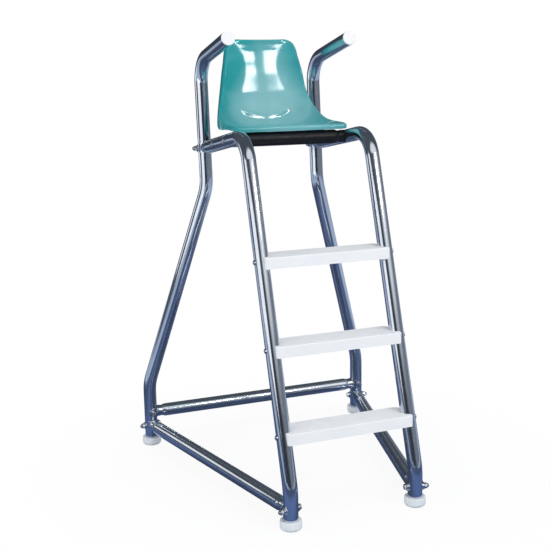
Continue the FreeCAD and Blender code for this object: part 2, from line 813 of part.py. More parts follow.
def edge_shift(number, inset):
    """How far a station moves in from the front edge or the top edge."""
    reach = 6 * inset
    from_front = (RIM[number] - RIM[0]).Length
    from_top = (RIM[number] - RIM[-1]).Length
    if from_front < reach:
        return Vector(0, inset * (1 - from_front / reach), 0)
    if from_top < reach:
        return Vector(0, 0, -inset * (1 - from_top / reach))
    return Vector(0, 0, 0)


def shell_layer(inset, depths):
    """A surface behind the seating surface by a depth for each station, its edges drawn in."""
    shares = [2 * number / (SHELL_COLUMNS - 1) - 1 for number in range(SHELL_COLUMNS)]
    grid = []
    for number, station in enumerate(SHELL_STATIONS):
        narrowing = 1 - inset / RIM[number].x
        move = away_from_sitter(number) * depths[number]
        if inset:
            move = move + edge_shift(number, inset)
        grid.append([shell_point(station, share * narrowing) + move for share in shares])
    layer = Part.BSplineSurface()
    layer.interpolate(grid)
    return layer


def layered_solid(near, far):
    """The solid between two surfaces, closed along their four edges."""
    faces = [near.toShape(), far.toShape()]
    for first, last in zip(boundary_curves(near), boundary_curves(far)):
        faces.append(Part.makeRuledSurface(first, last))
    shell = Part.makeShell(faces)
    shell.sewShape()
    solid = Part.makeSolid(Part.Shell(shell.Faces))
    if solid.Volume < 0:
        solid.reverse()
    return solid


def boundary_curves(surface):
    first_u, last_u, first_v, last_v = surface.bounds()
    curves = [surface.uIso(first_u), surface.uIso(last_u), surface.vIso(first_v), surface.vIso(last_v)]
    return [curve.toShape() for curve in curves]


def shell_blank():
    """A wall behind the seating surface and a flange round it that turns away from the sitter."""
    wall = size["shell_wall"]
    flange = [station[6] * size["flange_depth"] for station in SHELL_STATIONS]
    whole = layered_solid(shell_layer(0, [0] * len(flange)), shell_layer(0, flange))
    hollow = layered_solid(
        shell_layer(wall, [wall] * len(flange)),
        shell_layer(wall, [depth + wall / 2 for depth in flange]))
    return whole.cut(hollow)


SEAT_FIXINGS = [(x, back) for x in (-STRAP_X, STRAP_X) for back in SEAT_BOLTS]
SEAT_HEAD_UP = STRAP_TOP + size["shell_pad"] + 1


def seat_shell():
    shell = shell_blank()
    for x, back in SEAT_FIXINGS:
        pad_height = size["shell_pad"] + 0.8 * size["shell_wall"]
        pad = Part.makeCylinder(size["shell_pad_outer"] / 2, pad_height, Vector(x, back, STRAP_TOP))
        shell = shell.fuse(pad)
    for x, back in SEAT_FIXINGS:
        hole = Part.makeCylinder(
            size["seat_bolt_outer"] / 2 + size["clearance"], 4 * size["shell_wall"],
            Vector(x, back, STRAP_TOP - 1))
        recess = Part.makeCylinder(
            size["seat_head_outer"] / 2 + size["clearance"], 4 * size["shell_wall"],
            Vector(x, back, SEAT_HEAD_UP))
        shell = shell.cut(hole.fuse(recess))
    shell.Placement = deck
    return shell


solid_part("seat_shell", seat_shell())

# Fasteners: one master of each kind, drawn on +Z from its seat at the origin

ORIGIN = Placement()


def hexagon(label, across, height):
    """A hexagon with its upper corners turned off."""
    prism = doc.addObject("Part::Prism", f"{label}_prism")
    prism.Polygon = 6
    prism.setExpression("Circumradius", with_sheet(f"{across} / sqrt(3)"))
    prism.setExpression("Height", with_sheet(height))
    bevel = doc.addObject("Part::Cone", f"{label}_bevel")
    bevel.setExpression("Radius1", with_sheet(f"{across} / 2 + 1.7 * {height}"))
    bevel.setExpression("Radius2", with_sheet(f"0.97 * {across} / 2"))
    bevel.setExpression("Height", with_sheet(height))
    return combine("Common", label, prism, bevel)


def combine(kind, label, base, tool):
    result = doc.addObject(f"Part::{kind}", label)
    result.Base = base
    result.Tool = tool
    return result


def ball_cap(label, outer, height):
    """A low dome: a cylinder under a ball that touches its rim."""
    disc = cylinder(f"{label}_disc", outer, height, ORIGIN)
    ball = doc.addObject("Part::Sphere", f"{label}_ball")
    radius = f"( {outer} * {outer} / 4 + {height} * {height} ) / ( 2 * {height} )"
    ball.setExpression("Radius", with_sheet(radius))
    ball.setExpression("Placement.Base.z", with_sheet(f"{height} - {radius}"))
    dome = combine("Common", f"{label}_dome", disc, ball)
    socket = doc.addObject("Part::Prism", f"{label}_socket")
    socket.Polygon = 6
    socket.setExpression("Circumradius", with_sheet(f"0.18 * {outer}"))
    socket.setExpression("Height", with_sheet(height))
    socket.setExpression("Placement.Base.z", with_sheet(f"0.45 * {height}"))
    return combine("Cut", label, dome, socket)


def bolt(label, head, outer, length):
    """A head with its shank down -Z; the tip is bevelled."""
    shank = cylinder(f"{label}_shank", outer, f"{length} - 1", Placement())
    shank.setExpression("Placement.Base.z", with_sheet(f"1 - ( {length} )"))
    tip = doc.addObject("Part::Cone", f"{label}_tip")
    tip.setExpression("Radius1", with_sheet(f"{outer} / 2 - 1"))
    tip.setExpression("Radius2", with_sheet(f"{outer} / 2"))
    tip.Height = 1
    tip.setExpression("Placement.Base.z", with_sheet(f"0 - ( {length} )"))
    joined = doc.addObject("Part::MultiFuse", label)
    joined.Shapes = [head, shank, tip]
    joined.Refine = True
    return joined


def bored(label, blank, bolt_outer, depth):
    hole = cylinder(f"{label}_bore", f"{bolt_outer} + 2 * clearance", depth, ORIGIN)
    return combine("Cut", label, blank, hole)


def flat_washer(label, outer, bolt_outer, thickness):
    disc = cylinder(f"{label}_disc", outer, thickness, ORIGIN)
    return bored(label, disc, bolt_outer, thickness)


def saddle_washer(label, outer, bolt_outer):
    """A washer hollowed below for a tube along X; its flat top is at z = 0."""
    disc = cylinder(f"{label}_disc", outer, f"saddle_thickness + {outer} / 8", Placement())
    disc.setExpression("Placement.Base.z", with_sheet(f"0 - saddle_thickness - {outer} / 8"))
    hole = cylinder(f"{label}_hole", f"{bolt_outer} + 2 * clearance", outer, Placement())
    hole.setExpression("Placement.Base.z", with_sheet(f"0 - {outer} / 2"))
    turn = Rotation(Vector(0, 0, 1), RIGHT)
    tube = cylinder(f"{label}_tube", "tube_outer + 2 * clearance", f"4 * {outer}", Placement(ORIGIN.Base, turn))
    tube.setExpression("Placement.Base.x", with_sheet(f"0 - 2 * {outer}"))
    tube.setExpression(
        "Placement.Base.z", with_sheet("0 - saddle_thickness - tube_outer / 2"))
    cutters = doc.addObject("Part::MultiFuse", f"{label}_cutters")
    cutters.Shapes = [hole, tube]
    return combine("Cut", label, disc, cutters)


def cap_nut():
    hex_part = hexagon("cap_nut_hexagon", "head_across", "nut_hex_height")
    neck = cylinder("cap_nut_neck", "nut_dome_outer", "nut_height - nut_dome_outer / 2", ORIGIN)
    dome = doc.addObject("Part::Sphere", "cap_nut_dome")
    dome.setExpression("Radius", "sizes.nut_dome_outer / 2")
    dome.setExpression("Placement.Base.z", "sizes.nut_height - sizes.nut_dome_outer / 2")
    blank = doc.addObject("Part::MultiFuse", "cap_nut_blank")
    blank.Shapes = [hex_part, neck, dome]
    blank.Refine = True
    return bored("cap_nut", blank, "bolt_outer", "thread_length + 1")


def plain_nut(label, across, height, bolt_outer):
    return bored(label, hexagon(f"{label}_hexagon", across, height), bolt_outer, height)


frame_bolt = bolt(
    "frame_bolt", hexagon("frame_bolt_head", "head_across", "head_height"), "bolt_outer",
    "tube_outer + 2 * ( clearance + ear_wall + boss_height + washer_thickness ) + thread_length")
rail_bolt = bolt(
    "rail_bolt", ball_cap("rail_bolt_head", "rail_head_outer", "rail_head_height"), "bolt_outer",
    "tube_outer + saddle_thickness + 22")
tread_bolt = bolt(
    "tread_bolt", ball_cap("tread_bolt_head", "tread_head_outer", "tread_head_height"),
    "tread_bolt_outer",
    "tube_outer + saddle_thickness + clearance + tread_end_wall + tread_washer_thickness"
    " + tread_nut_height + 2")
seat_bolt = bolt(
    "seat_bolt", ball_cap("seat_bolt_head", "seat_head_outer", "seat_head_height"),
    "seat_bolt_outer",
    "shell_pad + 1 + strap_thickness + seat_washer_thickness + seat_nut_height + 2")
strap_screw = bolt(
    "strap_screw", ball_cap("strap_screw_head", "screw_head_outer", "screw_head_height"),
    "screw_outer", "screw_length")
frame_nut = cap_nut()
tread_nut = plain_nut("tread_nut", "tread_nut_across", "tread_nut_height", "tread_bolt_outer")
seat_nut = plain_nut("seat_nut", "seat_nut_across", "seat_nut_height", "seat_bolt_outer")
frame_washer = flat_washer("frame_washer", "washer_outer", "bolt_outer", "washer_thickness")
tread_washer = flat_washer(
    "tread_washer", "tread_washer_outer", "tread_bolt_outer", "tread_washer_thickness")
seat_washer = flat_washer(
    "seat_washer", "seat_washer_outer", "seat_bolt_outer", "seat_washer_thickness")
rail_saddle = saddle_washer("rail_saddle", "rail_washer_outer", "bolt_outer")
tread_saddle = saddle_washer("tread_saddle", "tread_washer_outer", "tread_bolt_outer")
doc.recompute()


def group(label, master, places):
    """Copies of one master, kept apart as separate solids."""
    copies = []
    for place in places:
        copy = master.Shape.copy()
        copy.Placement = place
        copies.append(copy)
    solid_part(label, Part.makeCompound(copies))


def facing(base, outward, reference):
    """A place whose Z looks outward and whose X lies as near as it can to the reference."""
    return Placement(base, Rotation(reference, Vector(), outward, "ZXY"))


# Bolts, cap nuts and washers of the forked ends


def at_fork(joint, side, distance):
    outward = joint.across * side
    return facing(joint.crossing + outward * distance, outward, joint.along)


FORKS = {
    "rail_joint": list(rail_joints.values()),
    "side_brace": list(brace_joints.values()),
    "cross_brace": list(cross_joints.values()),
}

for name, joints in FORKS.items():
    head_seat = boss_reach() + size["washer_thickness"]
    group(f"{name}_bolts", frame_bolt, [at_fork(joint, -1, head_seat) for joint in joints])
    group(f"{name}_cap_nuts", frame_nut, [at_fork(joint, 1, head_seat) for joint in joints])
    group(f"{name}_washers", frame_washer, [
        at_fork(joint, side, boss_reach()) for joint in joints for side in (-1, 1)])

# Rail bolts that hold the seat cross tube and the rear bar


def on_tube(point, side, tube_direction):
    """Outer side of a frame tube, on top of a saddle washer."""
    reach = tube_radius + size["saddle_thickness"]
    return facing(point + RIGHT * side * reach, RIGHT * side, tube_direction)


for label, back in (("seat_tube", 0), ("rear_bar", size["rear_bar_run"])):
    places = [on_tube(rail_bolt_point(side, back), side, deck_slope) for name, side in SIDES]
    group(f"{label}_bolts", rail_bolt, places)
    group(f"{label}_washers", rail_saddle, places)

# Tread bolts, their washers and nuts

head_places = []
washer_places = []
nut_places = []
wall_face = tube_radius + size["clearance"] + size["tread_end_wall"]
for tread, top_alias in TREADS:
    for name, side in SIDES:
        point = tread_bolt_point(side, top_alias)
        inward = RIGHT * -side
        head_places.append(on_tube(point, side, stile_point(side, point.z + 1) - point))
        washer_places.append(facing(point + inward * wall_face, inward, REAR))
        nut_seat = wall_face + size["tread_washer_thickness"]
        nut_places.append(facing(point + inward * nut_seat, inward, REAR))
group("tread_bolts", tread_bolt, head_places)
group("tread_saddle_washers", tread_saddle, head_places)
group("tread_washers", tread_washer, washer_places)
group("tread_nuts", tread_nut, nut_places)

# Strap screws and seat bolts


def upward_on_deck(x, back, up):
    return facing(on_deck(x, back, up), deck.Rotation.multVec(UP), RIGHT)


def downward_on_deck(x, back, up):
    return facing(on_deck(x, back, up), deck.Rotation.multVec(UP) * -1, RIGHT)


group("strap_screws", strap_screw, [
    upward_on_deck(x, back, STRAP_TOP) for x in (-STRAP_X, STRAP_X) for back in CROSS_BEARERS])
group("seat_bolts", seat_bolt, [upward_on_deck(x, back, SEAT_HEAD_UP) for x, back in SEAT_FIXINGS])
group("seat_washers", seat_washer, [
    downward_on_deck(x, back, STRAP_BOTTOM) for x, back in SEAT_FIXINGS])
group("seat_nuts", seat_nut, [
    downward_on_deck(x, back, STRAP_BOTTOM - size["seat_washer_thickness"])
    for x, back in SEAT_FIXINGS])

# Check everything, then write one file for each sub-part

doc.recompute()
for item in doc.Objects:
    if "Invalid" in item.State or "Error" in item.State:
        raise RuntimeError(f"{item.Label} could not be built")
for piece in subparts:
    if piece.Shape.isNull() or not piece.Shape.isValid():
        raise RuntimeError(f"{piece.Label} has no valid shape")

os.makedirs("parts", exist_ok=True)
for piece in subparts:
    piece.Shape.exportStep(f"parts/{piece.Label}.step")
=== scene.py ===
import math

import bmesh
import bpy
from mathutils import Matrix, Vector


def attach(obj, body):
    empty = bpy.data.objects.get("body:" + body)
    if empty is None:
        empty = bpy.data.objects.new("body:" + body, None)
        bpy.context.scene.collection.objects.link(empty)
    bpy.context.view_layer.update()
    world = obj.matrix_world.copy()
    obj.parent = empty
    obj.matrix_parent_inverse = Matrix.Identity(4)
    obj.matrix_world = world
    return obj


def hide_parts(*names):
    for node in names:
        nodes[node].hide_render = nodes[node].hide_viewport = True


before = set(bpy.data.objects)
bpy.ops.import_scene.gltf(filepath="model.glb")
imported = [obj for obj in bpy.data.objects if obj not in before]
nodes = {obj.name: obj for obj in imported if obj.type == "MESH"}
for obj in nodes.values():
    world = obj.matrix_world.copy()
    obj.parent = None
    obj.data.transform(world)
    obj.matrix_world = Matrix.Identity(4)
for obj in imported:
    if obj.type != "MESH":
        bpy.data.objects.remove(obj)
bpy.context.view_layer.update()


# Camera: the photograph's viewpoint, level with the seat and to the left of the chair's front

CAMERA_PLACE = (-1.2850, -3.0852, 1.3973)
CAMERA_TURN = (78.457, 0.930, -21.391)
LENS = 63.57
SENSOR_WIDTH = 36


def add_camera():
    data = bpy.data.cameras.new("camera")
    data.lens = LENS
    data.sensor_width = SENSOR_WIDTH
    camera = bpy.data.objects.new("camera", data)
    camera.location = CAMERA_PLACE
    camera.rotation_euler = [math.radians(angle) for angle in CAMERA_TURN]
    bpy.context.scene.collection.objects.link(camera)
    bpy.context.scene.camera = camera


add_camera()


# Node trees


class Tree:
    """A node tree, filled by short calls."""

    def __init__(self, owner):
        owner.use_nodes = True
        self.tree = owner.node_tree
        self.tree.nodes.clear()

    def add(self, kind, settings=None, **inputs):
        """A node; its inputs are named in lower case, or input_0, input_1 by their order."""
        node = self.tree.nodes.new(kind)
        for name, value in (settings or {}).items():
            setattr(node, name, value)
        for name, value in inputs.items():
            self.put(self.find(node, name), value)
        return node

    def find(self, node, name):
        """The node's input of that name."""
        if name.startswith("input_"):
            return node.inputs[int(name[6:])]
        for socket in node.inputs:
            if socket.name.lower() == name.replace("_", " "):
                return socket
        raise KeyError(name)

    def put(self, socket, value):
        """Link another node's output to an input, or set its value."""
        if isinstance(value, bpy.types.NodeSocket):
            self.tree.links.new(value, socket)
        else:
            socket.default_value = value

    def ramp(self, factor, *stops):
        """A colour that runs through stops of position and colour."""
        node = self.add("ShaderNodeValToRGB", fac=factor)
        elements = node.color_ramp.elements
        while len(elements) < len(stops):
            elements.new(0.5)
        for element, (position, colour) in zip(elements, stops):
            element.position = position
            element.color = (*colour, 1)
        return node.outputs["Color"]

    def span(self, value, low, high, first=0.0, last=1.0):
        """The value's range from low to high, spread from first to last and held beyond."""
        node = self.add(
            "ShaderNodeMapRange", value=value, from_min=low, from_max=high, to_min=first, to_max=last)
        return node.outputs[0]

    def math(self, operation, *values):
        inputs = {f"input_{number}": value for number, value in enumerate(values)}
        return self.add("ShaderNodeMath", {"operation": operation}, **inputs).outputs[0]

    def mix(self, factor, first, second):
        """A colour between two."""
        node = self.add("ShaderNodeMix", {"data_type": "RGBA"})
        self.put(node.inputs[0], factor)
        self.put(node.inputs[6], first)
        self.put(node.inputs[7], second)
        return node.outputs[2]

    def split(self, vector):
        """The X, Y and Z of a vector."""
        return self.add("ShaderNodeSeparateXYZ", vector=vector).outputs

    def place(self, stretch=(1, 1, 1), turn=(0, 0, 0)):
        """Object coordinates in metres, turned and then stretched."""
        where = self.add("ShaderNodeTexCoord").outputs["Object"]
        angles = [math.radians(angle) for angle in turn]
        turned = self.add("ShaderNodeMapping", vector=where, rotation=angles)
        return self.add("ShaderNodeMapping", vector=turned.outputs[0], scale=stretch).outputs[0]

    def facing(self):
        """The X, Y and Z of the way that the surface faces."""
        return self.split(self.add("ShaderNodeNewGeometry").outputs["Normal"])

    def noise(self, where, scale, detail=3.0, roughness=0.5):
        node = self.add(
            "ShaderNodeTexNoise", vector=where, scale=scale, detail=detail, roughness=roughness)
        return node.outputs[0]

    def bump(self, height, strength, distance):
        node = self.add("ShaderNodeBump", height=height, strength=strength, distance=distance)
        return node.outputs[0]

    def shade(self, fac, first, second, output):
        """Two shaders mixed and led to the output."""
        mixed = self.add(
            "ShaderNodeMixShader", fac=fac, input_1=first.outputs[0], input_2=second.outputs[0])
        self.add(output, surface=mixed.outputs[0])

    def surface(self, **inputs):
        """The one shader of a plain material."""
        shader = self.add("ShaderNodeBsdfPrincipled", **inputs)
        self.add("ShaderNodeOutputMaterial", surface=shader.outputs[0])


# World: the camera sees plain white and the chair gets even light. Metal mirrors a room whose walls
# are dim behind the chair's left, dark between and lit on its right, with two bright patches of
# ceiling in front. A patch has its azimuth, counted from the front to the right, and the cosines at
# which it starts and is full. Heights run from 0 at the horizon to 1 overhead.

WHITE = (1.0, 1.0, 1.0, 1)
DAYLIGHT = (0.97, 0.985, 1.0, 1)
AMBIENT = 0.78
WALL_AZIMUTH = 75
WALL_BEHIND = (0.080, 0.098, 0.135)
WALL_DARK = (0.032, 0.042, 0.058)
WALL_LIT = (0.20, 0.22, 0.26)
CEILING_DARK = (0.075, 0.088, 0.105)
CEILING_BRIGHT = (0.92, 0.95, 0.98)
LOW_PATCH = (28, 0.62, 0.85)
LOW_PATCH_HEIGHTS = (0.24, 0.38)
HIGH_PATCH = (5, 0.36, 0.55)
HIGH_PATCH_HEIGHTS = (0.48, 0.58)


def towards(tree, direction, azimuth, low, high):
    """0 to 1 as the cosine between a direction and an azimuth goes from low to high."""
    turn = math.radians(azimuth)
    way = (math.sin(turn), -math.cos(turn), 0)
    dot = tree.add(
        "ShaderNodeVectorMath", {"operation": "DOT_PRODUCT"}, input_0=direction, input_1=way)
    return tree.span(dot.outputs["Value"], low, high)


def mirrored_room(tree):
    """The colour of the walls and ceiling that metal mirrors."""
    direction = tree.add("ShaderNodeTexCoord").outputs["Generated"]
    height = tree.split(direction)["Z"]
    room = tree.ramp(
        towards(tree, direction, WALL_AZIMUTH, -1, 1),
        (0.0, WALL_BEHIND), (0.35, WALL_DARK), (0.55, WALL_DARK), (0.75, WALL_LIT))
    for patch, heights in ((LOW_PATCH, LOW_PATCH_HEIGHTS), (HIGH_PATCH, HIGH_PATCH_HEIGHTS)):
        ceiling = tree.ramp(
            towards(tree, direction, *patch), (0.0, CEILING_DARK), (1.0, CEILING_BRIGHT))
        room = tree.mix(tree.span(height, *heights), room, ceiling)
    return room


def add_world():
    world = bpy.data.worlds.new("studio")
    bpy.context.scene.world = world
    tree = Tree(world)
    rays = tree.add("ShaderNodeLightPath").outputs
    seen_colour = tree.mix(rays["Is Glossy Ray"], WHITE, mirrored_room(tree))
    light = tree.add("ShaderNodeBackground", color=DAYLIGHT, strength=AMBIENT)
    seen = tree.add("ShaderNodeBackground", color=seen_colour, strength=1.0)
    either = tree.math("MAXIMUM", rays["Is Camera Ray"], rays["Is Glossy Ray"])
    shown = tree.math("MAXIMUM", either, rays["Is Transmission Ray"])
    tree.shade(shown, light, seen, "ShaderNodeOutputWorld")


add_world()


# Floor: pale, with the chair's shadow, and white to the camera away from the chair. Metal mirrors it
# navy, bluer in a ring round the feet, and lit beside the chair. Spans are in metres.

FLOOR_HALF = 20
FLOOR_LEVEL = -0.0005
FLOOR_PALE = (0.86, 0.87, 0.89, 1)
FLOOR_GLOW = 0.90
FLOOR_SPREAD = (0.5, 1.2)
FLOOR_FEET = (0.11, 0.170, 0.345)
FLOOR_NAVY = (0.072, 0.098, 0.170)
FLOOR_LIT = (0.50, 0.60, 0.76, 1)
FLOOR_REACH = (0.3, 4.0)
LIT_LEFT = (-1.5, -2.4)
LIT_RIGHT = (1.0, 2.2)


def mirrored_floor(tree, where, distance):
    """The colour of the floor that metal mirrors."""
    unlit = tree.ramp(
        tree.span(distance, *FLOOR_REACH),
        (0.045, FLOOR_NAVY), (0.085, FLOOR_FEET), (0.13, FLOOR_FEET),
        (0.21, FLOOR_NAVY), (0.5, FLOOR_NAVY), (1.0, WALL_BEHIND))
    across = tree.split(where)["X"]
    beside = tree.math("MAXIMUM", tree.span(across, *LIT_LEFT), tree.span(across, *LIT_RIGHT))
    return tree.mix(beside, unlit, FLOOR_LIT)


def floor_material():
    material = bpy.data.materials.new("floor")
    tree = Tree(material)
    rays = tree.add("ShaderNodeLightPath").outputs
    where = tree.place((1, 1, 0))
    distance = tree.add("ShaderNodeVectorMath", {"operation": "LENGTH"}, input_0=where).outputs[1]
    colour = tree.mix(rays["Is Glossy Ray"], FLOOR_PALE, mirrored_floor(tree, where, distance))
    matte = tree.add("ShaderNodeBsdfDiffuse", color=colour)
    glow = tree.add("ShaderNodeEmission", color=WHITE, strength=1.0)
    bright = tree.span(distance, *FLOOR_SPREAD, FLOOR_GLOW, 1.0)
    lifted = tree.math("MULTIPLY", rays["Is Camera Ray"], bright)
    tree.shade(lifted, matte, glow, "ShaderNodeOutputMaterial")
    return material


def add_floor():
    mesh = bpy.data.meshes.new("floor")
    corners = [
        (x * FLOOR_HALF, y * FLOOR_HALF, FLOOR_LEVEL)
        for x, y in ((-1, -1), (1, -1), (1, 1), (-1, 1))]
    mesh.from_pydata(corners, [], [(0, 1, 2, 3)])
    floor = bpy.data.objects.new("floor", mesh)
    bpy.context.scene.collection.objects.link(floor)
    mesh.materials.append(floor_material())


add_floor()


# Lamps: place, the point aimed at, width, height, radiance, and whether shiny surfaces mirror it.
# The two windows are small and bright, and show as the highlights on the backrest.

LAMPS = {
    "left_softbox": ((-2.55, -0.95, 1.30), (-0.2, -0.25, 0.95), 2.3, 1.3, 1.05, True),
    "rear_softbox": ((-2.50, 2.10, 1.30), (-0.2, 0, 0.6), 1.2, 0.9, 0.9, True),
    "ceiling": ((0.3, -1.6, 4.2), (0, 0, 0.8), 3.0, 2.0, 2.1, False),
    "window_left": ((1.393, -2.450, 2.288), (-0.055, 0.325, 1.42), 0.32, 0.205, 24, True),
    "window_right": ((0.870, -2.450, 2.208), (0.045, 0.325, 1.44), 0.31, 0.215, 24, True),
}


def add_lamp(name, place, target, width, height, radiance, mirrored):
    """A soft rectangular lamp of an even brightness."""
    data = bpy.data.lights.new(name, "AREA")
    data.shape = "RECTANGLE"
    data.size = width
    data.size_y = height
    data.energy = radiance * math.pi * width * height
    lamp = bpy.data.objects.new(name, data)
    lamp.location = place
    lamp.visible_camera = False
    lamp.visible_glossy = mirrored
    aim = Vector(target) - Vector(place)
    lamp.rotation_euler = aim.to_track_quat("-Z", "Y").to_euler()
    bpy.context.scene.collection.objects.link(lamp)


for name, lamp in LAMPS.items():
    add_lamp(name, *lamp)


# Seat: a moulded shell with a rolled rim, after the CAD shell. The deck is the plane of the seat
# rails' axes: its origin lies on the seat cross tube's axis, and it falls towards the back.

DECK_TILT = math.radians(8.530)
DECK_ORIGIN = Vector((0, 0.060, 1.18745))
DECK_BACK = Vector((0, math.cos(DECK_TILT), -math.sin(DECK_TILT)))
DECK_UP = Vector((0, math.sin(DECK_TILT), math.cos(DECK_TILT)))
HALF_WIDTH = 0.2135
SEAT_DEPTH = 0.2558
LIP_AHEAD = 0.0335
BACK_HEIGHT = 0.3486
PAN_UP = 0.03615
FLANGE_DEPTH = 0.034
SHELL_WALL = 0.0042
EDGE_ROUND = 0.0011
ROLL = 0.0085

# Each station goes across the shell. Its first five numbers are shares of the seat's half width,
# depth and height: half width, then back and up at the rim, then back and up on the centre line.
# The sixth says how late the section curls up, the seventh is a share of the flange depth.
STATIONS = (
    (0.927, 0.000, 0.014, 0.000, 0.013, 8, 0.47),
    (0.970, 0.013, 0.018, 0.019, 0.016, 7, 0.47),
    (0.991, 0.049, 0.025, 0.068, 0.012, 6, 0.47),
    (0.999, 0.110, 0.034, 0.136, 0.006, 5, 0.47),
    (1.000, 0.199, 0.047, 0.244, -0.001, 5, 0.48),
    (1.000, 0.326, 0.064, 0.390, 0.001, 5, 0.51),
    (0.995, 0.479, 0.087, 0.563, 0.004, 5, 0.65),
    (0.981, 0.620, 0.116, 0.721, 0.006, 5, 0.82),
    (0.963, 0.715, 0.149, 0.847, 0.025, 4.5, 0.97),
    (0.927, 0.793, 0.197, 0.942, 0.084, 4, 0.97),
    (0.888, 0.856, 0.256, 0.981, 0.165, 3.5, 0.88),
    (0.845, 0.909, 0.326, 1.002, 0.275, 3, 0.82),
    (0.803, 0.945, 0.411, 1.011, 0.383, 3, 0.79),
    (0.766, 0.961, 0.497, 1.017, 0.471, 3, 0.79),
    (0.728, 0.953, 0.638, 1.023, 0.655, 3, 0.79),
    (0.693, 0.962, 0.743, 1.019, 0.790, 3, 0.74),
    (0.670, 0.974, 0.817, 1.016, 0.863, 3, 0.68),
    (0.646, 0.980, 0.888, 1.012, 0.911, 3, 0.59),
    (0.595, 0.987, 0.946, 1.008, 0.952, 3, 0.50),
    (0.506, 0.995, 0.985, 1.003, 0.983, 3, 0.44),
    (0.393, 1.000, 1.000, 1.000, 1.000, 3, 0.41),
)
ROWS_PER_STATION = 9
COLUMNS = 56

# The crease under the back is a step that smiles: its middle is lowest, and it fades at its ends.
CREASE_HEIGHT = 1.260
CREASE_RISE = 0.026
CREASE_HALF_WIDTH = 0.087
CREASE_FADE = (0.068, 0.108)
CREASE_STEP = 0.0031

# The backrest is a little hollow across its middle.
DISH_HALF_WIDTH = 0.110
DISH_HEIGHTS = (1.27, 1.32)
DISH_DEPTH = 0.0014


def between(before, first, second, after, share):
    """A smooth curve through four numbers, between the middle two."""
    slope_first = (second - before) / 2
    slope_second = (after - first) / 2
    rise = second - first
    bend = 3 * rise - 2 * slope_first - slope_second
    twist = slope_first + slope_second - 2 * rise
    return first + share * (slope_first + share * (bend + share * twist))


def station_at(position):
    """The seven numbers of a station, or between two of them."""
    last = len(STATIONS) - 1
    number = min(int(position), last - 1)
    near = [STATIONS[min(max(number + step, 0), last)] for step in (-1, 0, 1, 2)]
    return [between(*numbers, position - number) for numbers in zip(*near)]


def on_deck(x, back, up):
    return DECK_ORIGIN + Vector((x, 0, 0)) + DECK_BACK * back + DECK_UP * up


def seat_point(station, share, inset=0.0):
    """A point across a station, from share -1 at one rim to 1 at the other."""
    half_width, rim_back, rim_up, centre_back, centre_up, curl = station[:6]
    rise = abs(share) ** curl
    back = centre_back + (rim_back - centre_back) * rise
    up = centre_up + (rim_up - centre_up) * rise
    return on_deck(
        share * (half_width * HALF_WIDTH - inset),
        back * SEAT_DEPTH - LIP_AHEAD,
        PAN_UP + up * BACK_HEIGHT)


def smooth(value, low, high):
    """0 to 1 as the value goes from low to high, level at both ends."""
    share = min(max((value - low) / (high - low), 0), 1)
    return share * share * (3 - 2 * share)


def crease(point):
    """How far the crease stands towards the sitter: it swells slowly and drops at once."""
    height = point.z - (CREASE_HEIGHT + CREASE_RISE * (point.x / CREASE_HALF_WIDTH) ** 2)
    fade = 1 - smooth(abs(point.x), *CREASE_FADE)
    swell = smooth(height, -0.025, -0.001)
    drop = smooth(height, -0.001, 0.004)
    return CREASE_STEP * fade * (swell - drop)


def dish(point):
    """How far the hollow of the backrest lies behind its plain form."""
    across = min(1, abs(point.x) / DISH_HALF_WIDTH)
    return DISH_DEPTH * smooth(point.z, *DISH_HEIGHTS) * (1 - across**2) ** 3


def seat_grid():
    """Rows of points over the seating surface, with the way out of the shell at each row."""
    count = (len(STATIONS) - 1) * ROWS_PER_STATION + 1
    stations = [station_at(number / ROWS_PER_STATION) for number in range(count)]
    rims = [seat_point(station, 1) for station in stations]
    ways = []
    for number in range(count):
        first = rims[max(number - ROWS_PER_STATION, 0)]
        last = rims[min(number + ROWS_PER_STATION, count - 1)]
        run = last - first
        ways.append(Vector((0, run.z, -run.y)).normalized())
    grid = []
    reach = 6 * ROLL
    for number, station in enumerate(stations):
        from_front = (rims[number] - rims[0]).length
        from_top = (rims[number] - rims[-1]).length
        move = Vector((0, 0, 0))
        if from_front < reach:
            move = DECK_BACK * ROLL * (1 - from_front / reach)
        if from_top < reach:
            move = -DECK_UP * ROLL * (1 - from_top / reach)
        row = []
        for column in range(COLUMNS + 1):
            place = 2 * column / COLUMNS - 1
            share = place * (1.4 - 0.4 * place * place)
            point = seat_point(station, share, ROLL) + move
            row.append(point - ways[number] * (crease(point) - dish(point)))
        grid.append(row)
    depths = [station[6] * FLANGE_DEPTH for station in stations]
    return grid, ways, depths


def rim_loop(rows, columns):
    """The grid's boundary as (row, column), counterclockwise for the sitter."""
    loop = [(0, column) for column in range(columns)]
    loop += [(row, columns - 1) for row in range(1, rows)]
    loop += [(rows - 1, column) for column in range(columns - 2, -1, -1)]
    loop += [(row, 0) for row in range(rows - 2, 0, -1)]
    return loop


def flange_steps():
    """The roll in equal turns, then the straight part."""
    turns = 6
    steps = [(math.pi / 2 * number / turns, 0) for number in range(1, turns + 1)]
    return steps + [(math.pi / 2, share) for share in (0.3, 0.6, 0.85, 1.0)]


